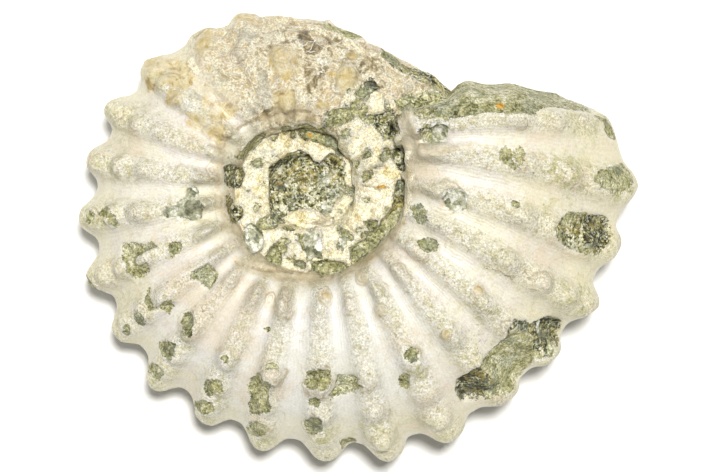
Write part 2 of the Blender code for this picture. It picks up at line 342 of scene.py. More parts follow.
# Places of the upper side in the photograph's pixels. An outline or a line is a flat list of
# x,y pairs. Rock: depth in millimetres, then the outline.
rockPatches = [
    # the rock above the shell's edge at the aperture, and the eroded band on the venter behind it
    (0.5, [411,92, 436,89.5, 452,89, 452,55, 650,55, 640,140, 606,124, 597,116, 586,109, 570,110,
     554,106, 543,107, 534,115, 519,112.5, 503,113, 484,112, 447,119, 420,119, 410,108, 400,110,
     394,100]),
    (0.3, [386,40, 400,42, 452,70, 455,89, 436,90, 418,80, 402,73, 392,64, 380,57]),
    (0.3, [322,22, 342,27, 362,38, 358,42, 340,34, 324,28]),
    # the seam between the whorls and the rock between the inner whorls
    (0.6, [354.4,95.2, 355.5,89.8, 366.4,81, 371.8,76.8, 376,80, 379.4,86.6, 368.5,94, 361,97.4]),
    (0.5, [326,112, 334,107.5, 345,108, 353,113, 350,120, 340,123.5, 331,121]),
    (0.9, [375,117, 386,109.3, 390,108, 396.7,115.8, 400,134, 392.4,137.5, 381.6,133, 375,124.5]),
    (0.9, [401.4,145.7, 405.6,158.3, 405,172.3, 397.2,169.5, 391.6,159.7, 394.4,149.9]),
    (1.0, [397.2,179.4, 404.2,179.4, 403.5,206, 397.2,221.5, 386,236.9, 370.6,252.3, 356.5,260.7,
     349.5,266.4, 350.9,248, 362.2,239.7, 373.4,231.3, 381.8,221.5, 391.6,208.8, 393.7,194.8]),
    (0.8, [366.4,223, 372,219.5, 378,221, 376.5,228, 370,230]),
    (0.9, [313,262, 330,259.5, 345.3,263, 349,267, 338,273, 322,276, 313.5,272]),
    (0.8, [266.7,252.3, 272,246.7, 278,248, 283,258, 281,265, 272,263.5, 265.5,258]),
    (0.6, [294.8,261, 300,258, 304,263, 301,267, 296,266]),
    (0.9, [245.7,223, 252,222, 262,232, 265,243, 261,252, 254,253.7, 247,247, 244.5,238]),
    (0.9, [255,225, 264,217, 274,211, 282,212, 284,222, 276,226, 266,230, 258,229]),
    (0.9, [224.6,166, 233,165, 242,168, 243,180, 239,187.8, 229,188, 225,180]),
    (0.9, [225.5,195, 231,195, 236,205, 241,215, 240,222.9, 232,223.5, 227.5,212]),
    (0.5, [236,157, 247,146, 256,136, 262,131.5, 266.7,131.7, 262,143, 252,153, 245,159.7, 237,159.5]),
    (0.2, [281,126, 291,125.5, 292,131, 286,133.5, 282,131]),
    (0.3, [294.8,126, 305,124.6, 317,128, 326,126, 329,133, 334,139, 339.7,147, 345,160, 337,152,
     328.5,145.7, 318,141, 308,140, 300,137]),
    (0.6, [325.7,121, 333,116, 345.3,117, 343,125, 334,127.5, 327,127]),
    # the rock in the middle of the umbilicus
    (0.4, [268.8,166.7, 283.6,156.9, 297.6,150.6, 311.6,155.5, 320,161, 331.3,152.7, 345.3,161,
     343.2,175, 347,187, 340,198, 331,206, 320,211.6, 311.6,208.8, 295,210, 283.6,217, 275,221.5,
     271,211.6, 268.8,195, 268,181]),
    # spalled places of the flank, from the aperture back
    (0.9, [420,125, 428,121, 434,121, 433,134, 434,144, 425,143, 420,134]),
    (1.1, [306,371, 318,369, 330,371, 331,384, 322,390, 311,389, 305,382]),
    (0.9, [183,315, 189,311, 194,318, 193,330, 186,333, 181,326]),
    (0.7, [404,351, 412,346, 419,351, 419,359, 411,363, 404,358]),
    (1.4, [514.6,319.5, 533.7,322, 549.7,315.5, 560.8,321, 559,337, 554.4,354.6, 535.3,360, 522.6,372,
     514.6,388, 506.6,394.4, 490.7,399, 463.6,400.8, 456.4,396, 455.6,380, 463.6,375.3, 481,367.3,
     489,353, 505,338.6, 509.8,327.5]),
    (1.1, [556,225, 565,214, 585,212, 604,216, 613,228, 610,243, 600,254, 585,257, 570,250, 558,240]),
    (0.5, [499,149, 506,145, 511,149, 518,146, 526,150, 524,160, 515,171, 507,166, 500,158]),
    (0.4, [512,201, 519,201, 522,205, 517,208, 512,206]),
    (0.4, [594,178, 604,167, 622,164, 634,175, 632,190, 618,196, 604,190]),
    (0.5, [411,206, 420,202, 428,212, 424,226, 414,222]),
    (0.5, [418,240, 428,237, 438,241, 436,250, 426,252, 419,248]),
    (0.5, [604,124, 612,127, 618,137, 612,140, 605,133]),
    (0.3, [398,378, 404,372, 410,375, 411,386, 405,390, 399,386]),
    (0.9, [336.7,375, 352.6,373.6, 359,380, 355.8,385, 362,388, 354,393, 340,394.4, 332,400.7, 330.3,394.4,
     336.7,388]),
    (0.3, [308,399, 316,396, 321,401, 317,407, 309,406]),
    (0.4, [304,421, 313,415, 322,420, 323,431, 313,435, 305,430]),
    (0.5, [340,441, 348,437, 356,439, 355,449, 346,452, 341,448]),
    (0.9, [258.6,372, 261.7,380, 274.5,386.4, 268,391, 266.5,402, 271,407, 268,415, 250.6,415, 249,394,
     247.4,381.6]),
    (0.5, [247,423, 256,421, 264,427, 265,435, 255,437, 248,431]),
    (0.3, [263,368, 270,364, 278,365, 279,370, 270,370]),
    (0.7, [203,380, 212,377, 222,380, 223,391, 214,399, 205,395, 203,388]),
    (0.5, [193,403, 202,399, 213,402, 214,411, 204,415, 195,411]),
    (0.4, [263,328, 268,325, 272,329, 268,333]),
    (0.4, [221,358, 226,355, 230,360, 225,363]),
    (0.5, [100,209, 107.6,208, 121,225, 117,229, 110,225, 98,214]),
    (0.4, [86,214, 90,211, 94,215, 92,224, 87,221]),
    (0.9, [122,244.5, 135,242, 152,242, 157,245.7, 145,250.6, 138,255.4, 134,261.5, 138,266.3,
     147.6,262.7, 150,271, 145,277, 135.4,281, 128,272.4, 122,256.6]),
    (0.6, [167,244, 174,240, 181,243, 180,254, 172,258, 168,252]),
    (0.8, [192,271, 206,263, 216.6,272, 215.4,280, 209,290.6, 203,285.7, 200,281, 191,278]),
    (0.8, [149,287, 149,295, 153.6,306, 160,306, 164.5,300, 172,301.5, 175.4,307.5, 169,313.6, 162,311,
     155,309, 149,311, 144,299]),
    (0.6, [133,313, 137,309, 146,322, 144,326, 137,322]),
    (0.5, [122,327, 128,324, 132,331, 129,337, 123,334]),
    (0.5, [181,331, 188,329, 192,333, 188,337, 182,336]),
    (0.4, [159,343, 165,340, 174,345, 175,353, 170,361, 162,358]),
    (0.4, [147,364, 154,362, 162,369, 165,376, 158,381, 149,375]),
    (0.6, [80,272, 86,276, 95,287, 106,293, 115,301, 108,305, 96,301, 84,290]),
]

# Pits lined with crystals: depth in millimetres, then the outline.
crystalPits = [
    (1.8, [430,121, 440,119, 448,122, 449,130, 447,142, 438,145, 431,143, 429,132]),
    (1.6, [443,191, 452,187, 462,189, 468,198, 466,209, 456,214, 447,209, 443,200]),
    (0.9, [197,185, 198.4,197, 205.7,210.6, 201,221.5, 186,220, 176.6,216.6, 167,219.7, 161,215.4,
     165.7,208, 175.4,207, 185,195, 187.5,187.6]),
]

# Crystals level with the rock round them: outlines.
crystalChips = [
    [318,174, 325,171, 331,180, 326,189, 318,187],
    [303,236, 313,231, 322,240, 322,256, 311,259, 304,250],
    [245,226, 254,223, 262,236, 264,248, 254,252, 246,240],
    [274,187, 284,182, 287,187, 279,193], [286,178, 291,176, 290,182],
    [319,206, 331,205, 333,212, 324,216], [298,160, 304,158, 303,163],
    [340,238, 347,234, 349,246, 342,252], [585,247, 593,244, 596,250, 588,254],
    [482,383, 489,380, 491,386, 485,388], [540,322, 543,320, 549,336, 546,340],
]

# Honey-coloured crystalline shell: outlines.
amberPatches = [
    [143,62, 150,57, 163,56, 178,57, 186,64, 182,78, 172,84, 160,86, 150,92, 145,80],
    [194,46, 200,36, 206,30, 212,38, 211,48, 204,56, 196,56],
    [231,17, 240,11, 257,11, 259,19, 250,21, 238,21],
    [268,52, 276,48, 284,50, 296,49, 301,60, 299,72, 291,79, 281,76, 272,70],
    [272,92, 283,90, 294,90, 294,104, 288,112, 278,112, 272,104],
    [204,88, 237,90, 240,106, 232,118, 212,122, 203,110],
    [205,124, 222,121, 228,130, 225,143, 215,147, 207,138],
    [187,113, 200,112, 209,122, 206,133, 194,128],
    [341,72, 350,66, 358,70, 358,82, 350,86, 342,82],
    [346,52, 352,50, 359,54, 357,57, 348,56],
    [366,60, 371,59, 372,63, 367,63],
    [395,100, 404,98, 413,100, 410,108, 400,110],
    [320,100, 328,99, 332,106, 326,112, 319,108],
    [184,195, 187,186, 197,185, 198,194, 190,199],
    [166,92, 173,88, 181,92, 182,102, 174,107, 166,102],
    [162,60, 190,62, 196,80, 186,92, 170,88],
    [372,185, 380,183.5, 387,185, 386,189, 376,189],
]

# Round marks where tubercles are worn through: place, radius, and whether the middle is honey.
tubercleRings = [
    (478, 292, 7, 1), (446, 334, 6, 1), (412, 354, 8, 0), (286, 294, 7, 0), (325.5, 297, 8, 1),
    (362, 278, 7, 1), (380, 311.5, 7, 1), (522, 123, 6, 0), (558, 124, 7, 0), (583, 120, 6, 0),
    (317.6, 381.6, 15, 0), (313, 425, 10, 0), (273, 372, 13, 0), (131.5, 212.5, 6, 0),
    (446, 198, 17, 0), (173, 98, 9, 1), (216, 134, 13, 1), (239, 56, 9, 0), (346, 80, 16, 1),
    (283, 101, 12, 1), (188, 320, 9, 0), (215, 170, 8, 0), (408, 87, 9, 0), (270, 300, 7, 0),
]

# Pale grey and brownish grey shell: outlines.
greyPatches = [
    [244,104, 252,102, 261,104, 260,113, 250,114],
    [259,71, 266,70, 271,85, 270,109, 262,110, 258,90],
    [186,94, 195,92, 203,97, 201,101, 190,99],
    [234,30, 245,27, 257,33, 256,41, 240,42],
    [403,87, 408,84, 413,87, 408,91],
    [303,236, 313,231, 325,240, 322,256, 311,259, 304,250],
    [318,174, 325,172, 330,181, 325,189, 318,187],
]

# Smooth tan shell: the folds at the aperture and the wall of the umbilicus.
tanPatches = [
    [396,104, 407,106, 414,122, 421,139, 427,150, 448,147, 470,144, 473,149, 452,153, 430,157, 414,160,
     407,146, 400,124],
    [216,134, 227,140, 226,162, 223,196, 228,228, 220,233, 216,200, 213,160],
    [230,254, 252,262, 292,272, 318,273, 330,278, 318,282, 290,284, 262,278, 236,268],
    [262,112, 290,107, 318,110, 318,122, 290,120, 262,124],
    [352,262, 372,250, 392,228, 404,205, 408,210, 398,234, 380,256, 360,270],
]

# Chalky cream fill of the inner whorls and white shards: outlines. The first one holds rock too.
creamPatches = [
    [336,108, 346,90, 356,84, 376,90, 392,104, 400,130, 404,170, 402,205, 390,228, 372,246, 352,262,
     330,250, 332,213, 341,200, 345,182, 343,165, 340,146, 338,132],
    [405,150, 410,150, 412,180, 411,205, 405,222, 401,224, 407,203, 407,175],
    [302,144, 314,142, 327,149, 325,155, 319,160, 309,154, 302,150],
    [285,214, 297,211, 311,210, 321,218, 310,224, 292,222],
    [321,208, 331,205, 333,212, 326,217],
    [240,149, 250,144, 251,147, 243,152],
    [187,60, 194,58, 201,70, 198,77, 190,70],
    [499,156, 512,158, 511,161, 500,159],
    [484,264, 498,266, 513,273, 512,277, 496,271, 484,268],
]


# Folds and cracks: height in millimetres, half width in pixels, whether it is stained brown, and
# the line that it follows.
creases = [
    (0.8, 4.5, 0, [408,108, 414,122, 420,140, 424,153]),
    (-0.3, 2.5, 0, [400,110, 404,125, 410,142, 413,157]),
    (-0.2, 1.2, 0, [399,112, 402,124, 408,140, 411,150]),
    (0.5, 4.5, 0, [424,150, 440,147, 458,148, 472,145]),
    (-0.5, 1.0, 1, [492,271, 502,275, 512,279]),
    (-0.7, 1.2, 1, [394,98, 411,92, 436,90, 452,89]),
    (-0.4, 1.6, 1, [262,119, 280,113, 300,111.5, 316,116]),
    (0.5, 2.0, 0, [272,125, 292,121, 311,120, 330,124]),
    (-0.4, 1.4, 1, [226,140, 240,128, 256,118, 270,113]),
    (-0.3, 1.0, 1, [165,69, 172,67.5, 180,70]),
    (-0.4, 1.2, 1, [147,76, 149,84, 153,92]),
    (-0.3, 0.9, 1, [175,80, 179,78, 184,79]),
    (-0.3, 0.9, 1, [200,90, 204,86, 206,83]),
    (0.5, 2.0, 0, [327,101, 318,92, 316,78, 328,66, 345,60, 358,66]),
    (0.5, 1.8, 0, [343,165, 349,180, 346,194, 336,205, 320,214, 300,219]),
    (-0.3, 1.0, 1, [364,186, 372,189, 380,192]),
    (-0.3, 0.8, 1, [290,22, 320,27, 350,38, 378,53, 400,66]),
    (-0.3, 0.8, 1, [303,31, 330,38, 356,50, 380,66]),
    (0.3, 1.5, 0, [300,27, 330,33, 356,44, 384,60]),
    (-0.4, 1.2, 1, [236,262, 252,268, 268,271, 292,274]),
    (0.6, 2.0, 0, [262,265, 284,274, 305,276, 318,273]),
]

# Dusted places, greenish yellow and specked: middle, radius and strength.
dustPlaces = [
    (612, 182, 26, 1.0), (565, 172, 30, 0.7), (530, 162, 20, 0.5), (560, 212, 30, 0.8), (520, 205, 18, 0.6),
    (592, 292, 30, 0.8), (500, 262, 30, 0.5), (484, 330, 36, 0.7), (440, 332, 30, 0.4), (420, 372, 22, 0.6),
    (362, 432, 26, 0.5), (128, 300, 26, 0.6), (112, 130, 30, 0.7), (150, 110, 26, 0.6), (118, 172, 18, 0.6),
    (95, 215, 22, 0.6), (222, 402, 22, 0.4), (332, 442, 26, 0.6), (410, 432, 22, 0.5), (150, 75, 24, 0.6),
    (590, 140, 22, 0.5), (470, 230, 30, 0.4), (430, 260, 26, 0.5), (180, 350, 26, 0.4), (262, 440, 22, 0.5),
]

# Orange specks: middle and radius.
orangeSpots = [
    (501, 104.5, 3.6), (497.5, 103.5, 2.2), (379, 187, 2.6), (384, 186, 2.2), (281, 184, 2.2),
    (309, 135, 2.2),
]

# Deeper golden places: middle and radius.
goldSpots = [
    (289, 66, 9), (287, 75, 6), (279, 86, 4), (151, 88, 6), (147, 80, 4), (158, 64, 3), (198, 53, 4),
    (203, 42, 7), (207, 33, 4), (277, 62, 8), (290, 100, 4), (240, 13, 5), (252, 13, 5), (193, 122, 6),
    (216, 133, 7), (172, 97, 5), (350, 80, 6), (352, 53, 5), (324, 105, 4), (209, 69, 5), (283, 103, 5),
    (404, 102, 4), (477, 290, 3), (325, 296, 4), (184, 190, 4), (331, 74, 4),
]

# Where the rock is darker than the rest, and old shell browner: how much, and the outline.
duskyPlaces = [
    (0.62, [534,321, 550,315, 562,320, 562,345, 545,357, 536,352, 542,338, 532,330]),
    (0.36, [514,319, 534,321, 536,334, 520,336, 508,346, 500,340]),
    (0.75, [455,378, 472,369, 490,374, 495,388, 482,402, 455,402]),
    (0.02, [484,355, 510,330, 545,345, 530,372, 510,398, 488,402, 478,385]),
    (0.64, [588,212, 604,216, 613,228, 610,243, 600,254, 592,252, 584,240, 586,226]),
    (0.12, [556,225, 588,212, 600,254, 570,252]),
    (0.4, [268,168, 284,160, 292,176, 286,196, 272,194]),
    (0.34, [326,186, 345,176, 347,188, 338,200, 322,204]),
    (0.35, [160,184, 200,184, 208,212, 200,222, 160,222]),
    (0.22, [268,160, 298,150, 345,160, 348,190, 320,212, 275,222, 266,190]),
    (0.26, [400,50, 455,78, 452,90, 420,82, 400,70]),
    (0.05, [411,92, 452,70, 650,70, 606,124, 534,115, 420,119, 400,110]),
    (0.3, [372,108, 400,108, 402,138, 376,134]),
    (0.3, [388,140, 408,140, 408,200, 392,215]),
    (0.25, [222,160, 245,160, 245,225, 222,225]),
    (0.5, [296,30, 345,40, 385,66, 398,84, 372,96, 355,70, 330,62, 322,90, 305,96, 300,60]),
    (0.45, [256,112, 300,108, 320,112, 318,120, 270,122]),
    (0.45, [190,38, 206,28, 214,40, 206,58, 194,56]),
    (0.35, [232,100, 262,98, 262,116, 240,116]),
]

# Where the rock is paler than the rest: the middle, the radius and how much.
palerPlaces = [(512, 364, 30, 0.2), (345, 385, 16, 0.2), (426, 134, 6, 0.2), (500, 104, 60, 0.06)]


# How the places' edges wander, how far from an outline its distance is worked out, in pixels, which
# way the aperture's rock faces where the photograph shows it, and how much of a crease is stained.
edges = {"wander": 1.2, "size": 0.0016, "seeds": (11, 12), "reach": 14.0, "facesUp": -0.2, "stained": 0.8}
spots = photoPlace(points)
face, plug = part == parts["face"], (part == parts["topPlug"]) | (part == parts["underPlug"])
upper = (part == parts["top"]) | (part == parts["topPlug"]) | (face & (normals[:, 2] > edges["facesUp"]))
wander = [lumps(points, edges["size"], seed) for seed in edges["seeds"]]
ragged = spots + np.stack(wander, axis=1) * edges["wander"]


def pieceDistance(here, starts, ends):
    # distance in pixels to the nearest point of any of these straight pieces
    here, side = here[:, None], ends - starts
    along = np.clip(((here - starts) * side).sum(-1) / (side * side).sum(-1), 0, 1)
    return np.linalg.norm(here - starts - along[..., None] * side, axis=-1).min(axis=1)


def insideOutline(outline):
    # signed distance to a closed outline for the upper side, positive inside: the nearest point of
    # its sides, and a count of the sides that a line to the right crosses
    here, reach = ragged[upper], edges["reach"]
    corners = np.reshape(outline, (-1, 2)).astype(float)
    ends = np.roll(corners, -1, axis=0)
    field = np.full(len(here), -reach)
    near = ((here > corners.min(axis=0) - reach) & (here < corners.max(axis=0) + reach)).all(axis=1)
    gap = pieceDistance(here[near], corners, ends)
    (x, y), side = here[near].T[..., None], ends - corners
    slope = side[:, 0] / np.where(side[:, 1] == 0, 1, side[:, 1])
    crosses = (corners[:, 1] > y) != (ends[:, 1] > y)
    crosses &= x < corners[:, 0] + (y - corners[:, 1]) * slope
    field[near] = np.maximum(np.where(crosses.sum(axis=1) % 2 == 1, gap, -gap), -reach)
    return field


def fieldOf(outlines):
    # the largest signed distance to any of the outlines, on the upper side
    field = np.full(len(points), -edges["reach"])
    for outline in outlines:
        field[upper] = np.maximum(field[upper], insideOutline(outline))
    return field


def amountOf(places, low, high):
    # the amount given with each outline, full inside it: the largest of them at each point
    amount = np.zeros(len(points))
    for most, outline in places:
        amount[upper] = np.maximum(amount[upper], most * smoothStep(insideOutline(outline), low, high))
    return amount


def lineDistance(line):
    # distance in pixels from an open line, to the nearest point of its pieces
    corners = np.reshape(line, (-1, 2)).astype(float)
    return pieceDistance(ragged, corners[:-1], corners[1:])


def spotField(places):
    # signed distance in pixels to the edges of round places, on the upper side
    field = np.full(len(points), -edges["reach"])
    for x, y, radius in places:
        inside = radius - np.hypot(ragged[:, 0] - x, ragged[:, 1] - y)
        field = np.where(upper, np.maximum(field, inside), field)
    return field


def roundPlace(x, y, radius, full, gone):
    # 1 at the middle of a round place, falling to 0 between two shares of its radius
    return 1 - smoothStep(np.hypot(spots[:, 0] - x, spots[:, 1] - y) / radius, full, gone)


rock, crystal, amber, grey, cream, chalkArea, tan = map(fieldOf, (
    [outline for deep, outline in rockPatches], [outline for deep, outline in crystalPits] + crystalChips,
    amberPatches, greyPatches, creamPatches, creamPatches[:1], tanPatches))


def noiseOf(noises):
    # the sum of value noises, each given as its height, size and seed
    return sum(height * lumps(points, size, seed) for height, size, seed in noises)


# Each tubercle's shell is layered round its middle: 0 there, 1 at its edge. Those that the
# photograph shows worn through are placed by it, and the rest by their rib and row.
bossSize = {
    "radius": 0.04, "rowStep": (0.078, 0.061), "lastInner": 6, "none": 3.0, "squash": 0.85, "wander": 1.6,
    "honey": 0.7, "reach": 2.2, "ring": (1.0, 1.5),
}
shareHere = np.interp(row, np.arange(len(stations)), stations[:, 0])
across = (phase - np.round(phase)) * 2 * math.pi / whorl["ribs"] * shareHere
boss = np.full(len(points), bossSize["none"])
for at, high, half in whorl["tubercles"]:
    off = (row - at) * bossSize["rowStep"][int(at > bossSize["lastInner"])]
    boss = np.minimum(boss, np.hypot(across, off) / bossSize["radius"])
boss = np.where((part < parts["face"]) & (phase < oneTurn), boss, bossSize["none"])
marked = np.full(len(points), bossSize["none"])
bent = spots + (ragged - spots) * bossSize["wander"]
for x, y, radius, honey in tubercleRings:
    off = np.hypot(bent[:, 0] - x, (bent[:, 1] - y) * bossSize["squash"]) / radius
    marked = np.where(upper, np.minimum(marked, off), marked)
    if honey:
        amber = np.where(upper, np.maximum(amber, (bossSize["honey"] - off) * radius), amber)
boss = np.where(marked < bossSize["reach"], marked, boss)
ringed = 1 - smoothStep(marked, *bossSize["ring"])

stained = np.full(len(points), -edges["reach"])
creaseRelief = np.zeros(len(points))
for high, half, brown, line in creases:
    off = lineDistance(line)
    creaseRelief += np.where(upper, 0.001 * high * np.exp(-(off / half) ** 2), 0)
    if brown:
        stained = np.where(upper, np.maximum(stained, edges["stained"] * half - off), stained)

# A white vein parts the rock of the heart-shaped place: its line and half width.
vein = {"line": [517,147, 514,157, 516,168], "half": 0.7}
rock = np.where(upper, np.minimum(rock, lineDistance(vein["line"]) - vein["half"]), rock)
orange, gold = spotField(orangeSpots), spotField(goldSpots)
# How round places fade out, in shares of a radius, and the hidden side's noises of gold and dust.
# Cool white lies low on the flank, and yellower shell towards the aperture, in pixels.
tones = {
    "dustFades": (0.3, 1.1), "palerFades": (0.4, 1.1), "duskEdge": (-2, 4), "hiddenGold": [(6, 0.004, 52)],
    "goldFrom": 3.6, "hiddenDust": [(0.6, 0.014, 51)], "someDust": 0.5, "coolAt": (300, 370),
    "coolFades": (60, 190), "yellowFrom": (440, 560),
}
gold = np.where(upper, gold, noiseOf(tones["hiddenGold"]) - tones["goldFrom"])
dusty = np.zeros(len(points))
for x, y, radius, amount in dustPlaces:
    dusty = np.where(upper, np.maximum(dusty, amount * roundPlace(x, y, radius, *tones["dustFades"])), dusty)
dusty = np.where(upper, dusty, np.clip(tones["someDust"] + noiseOf(tones["hiddenDust"]), 0, 1))
chill = roundPlace(*tones["coolAt"], 1, *tones["coolFades"]) - smoothStep(spots[:, 0], *tones["yellowFrom"])
chill = np.where(upper, chill, 0)
dusk = amountOf(duskyPlaces, *tones["duskEdge"])
for x, y, radius, amount in palerPlaces:
    dusk -= np.where(upper, amount * roundPlace(x, y, radius, *tones["palerFades"]), 0)

# Inside the overlap the inner turn is chalky and full of hollows with rock in them, more of it to
# the right. Rock also fills the aperture, the plug and the seams: its field there by the row.
crumble = {
    "chalk": 6, "strength": 9, "hollows": [(0.5, 0.0042, 61), (0.5, 0.0019, 62)], "from": 0.27, "more": 0.09,
    "moreFrom": (330, 372), "most": 3, "grain": [(1.8, 0.0011, 63)],
}
innerTurn = (phase > oneTurn) & (part < parts["face"])
cream = np.where(innerTurn, np.maximum(cream, crumble["chalk"]), cream)
for where, start, byRow in (
        (face & ~upper, -0.5, 6), (face & upper, -1, 10), (plug & ~upper, 6, 0), (innerTurn & ~upper, 4, -5)):
    rock = np.where(where, np.maximum(rock, start + byRow * row), rock)
more = crumble["more"] * smoothStep(spots[:, 0], *crumble["moreFrom"])
hollows = crumble["strength"] * (noiseOf(crumble["hollows"]) - crumble["from"] + more)
crumbled = innerTurn | (chalkArea > 0)
rock = np.where(crumbled, np.maximum(rock, np.minimum(hollows, crumble["most"])), rock)
rock = np.where(crumbled & upper, rock + noiseOf(crumble["grain"]), rock)
print("patches placed")

# The hidden side has its own spalled places, pits and honey-coloured spots: numbers of each, the
# ranges of their middles and half widths in ribs and in rows, and how deep they lie.
hiddenSide = {
    "seed": 7, "rock": 34, "amber": 26, "crystal": 5, "phases": (0, 24), "rows": (2.5, 12.5),
    "halfPhase": (0.12, 0.45), "halfRow": (0.25, 0.9), "depth": 0.0008, "uneven": [(0.25, 0.003, 21)],
    "steep": 8, "edge": (-1, 3),
}
draw = np.random.default_rng(hiddenSide["seed"])
outerUnder = (part == parts["under"]) & ~innerTurn
hiddenDepth, uneven = np.zeros(len(points)), noiseOf(hiddenSide["uneven"])
for kind, field in (("rock", rock), ("amber", amber), ("crystal", crystal)):
    for _ in range(hiddenSide[kind]):
        atPhase, atRow, halfPhase, halfRow = (
            draw.uniform(*hiddenSide[name]) for name in ("phases", "rows", "halfPhase", "halfRow"))
        away = np.hypot((phase - atPhase) / halfPhase, (row - atRow) / halfRow)
        hidden = (1 - away - uneven) * hiddenSide["steep"]
        field[outerUnder] = np.maximum(field, hidden)[outerUnder]
        if kind != "amber":
            depth = np.where(outerUnder, hiddenSide["depth"] * smoothStep(hidden, *hiddenSide["edge"]), 0)
            hiddenDepth = np.maximum(hiddenDepth, depth)

# Low relief, in metres: the height, size and seed of each stuff's noises, how far chalk and honey
# stand up, how far the inner turn's rock lies back, and the ridges round tubercles and marks.
relief = {
    "shell": [(0.00012, 0.006, 31), (0.00006, 0.0015, 32)],
    "worn": [(0.0006, 0.005, 33), (0.0004, 0.002, 34)],
    "face": [(0.0006, 0.009, 64)], "rock": [(0.00022, 0.0032, 35), (0.00018, 0.0012, 36)],
    "cream": [(0.0006, 0.004, 37), (0.0003, 0.0016, 38)], "amber": [(0.0002, 0.0018, 39)],
    "creamUp": 0.0004, "amberUp": 0.0002, "innerBack": 0.0003, "ridge": [(1, 0.009, 41)], "ridgeUp": 0.00015,
    "ridgeAt": 0.9, "ridgeHalf": 0.25, "markUp": 0.0006, "markHalf": 0.8,
    "edge": (-1, 2), "placeEdge": (-1, 3),
    "wornFrom": (17.0, 18.5), "faceFrom": (0.02, 0.2), "swellFrom": (0.02, 0.3), "swellEnd": (0.0, 0.04),
}
# How worn and crystalline the old shell is: from three quarters of a turn behind the aperture back.
worn = smoothStep(phase, *relief["wornFrom"]) * (phase < whorl["ribs"])
rockMask, creamMask, amberMask = (smoothStep(field, *relief["edge"]) for field in (rock, cream, amber))
bare = 1 - rockMask
height = noiseOf(relief["shell"]) + worn * noiseOf(relief["worn"])
height += np.where(face, smoothStep(row, *relief["faceFrom"]) * noiseOf(relief["face"]), 0)
for patches in (rockPatches, crystalPits):
    height -= 0.001 * amountOf(patches, *relief["placeEdge"])
height -= hiddenDepth
height += rockMask * noiseOf(relief["rock"]) - np.where(innerTurn, relief["innerBack"] * rockMask, 0)
height += creamMask * bare * (noiseOf(relief["cream"]) + relief["creamUp"])
height += amberMask * (relief["amberUp"] + noiseOf(relief["amber"]))
ridge = np.exp(-((boss - relief["ridgeAt"]) / relief["ridgeHalf"]) ** 2) * np.maximum(
    noiseOf(relief["ridge"]), 0)
mark = np.exp(-(marked / relief["markHalf"]) ** 2)
height += (relief["ridgeUp"] * ridge + relief["markUp"] * mark) * bare
points = points + normals * (height + creaseRelief)[:, None]
inFace = smoothStep(row, *relief["swellFrom"]) * smoothStep(1 - row, *relief["swellEnd"])
inFace = np.where(face, inFace, 0)
for column, half, swell in aperture["swells"]:
    points[:, 1] += inFace * swell * np.exp(-((spots[:, 0] - column) / half) ** 2)
points[:, 2] = np.maximum(points[:, 2], 0)

mesh.vertices.foreach_set("co", points.astype(np.float32).ravel())
mesh.shade_smooth()
crestAngle, onTube = 2 * math.pi * phase, part < parts["face"]
fields = {
    "rock": rock, "crystal": crystal, "amber": amber, "grey": grey, "cream": cream, "boss": boss,
    "worn": worn, "stained": stained, "dusk": dusk, "dusty": dusty, "orange": orange, "gold": gold,
    "tan": tan, "ringed": ringed, "chill": chill, "row": np.where(onTube, row, 0),
    "ribCos": np.where(onTube, np.cos(crestAngle), 1), "ribSin": np.where(onTube, np.sin(crestAngle), 0),
}
for name, values in fields.items():
    mesh.attributes.new(name, "FLOAT", "POINT").data.foreach_set("value", values.astype(np.float32))
fossil = bpy.data.objects.new("ammoniteFossil", mesh)
bpy.context.scene.collection.objects.link(fossil)
print("relief done")


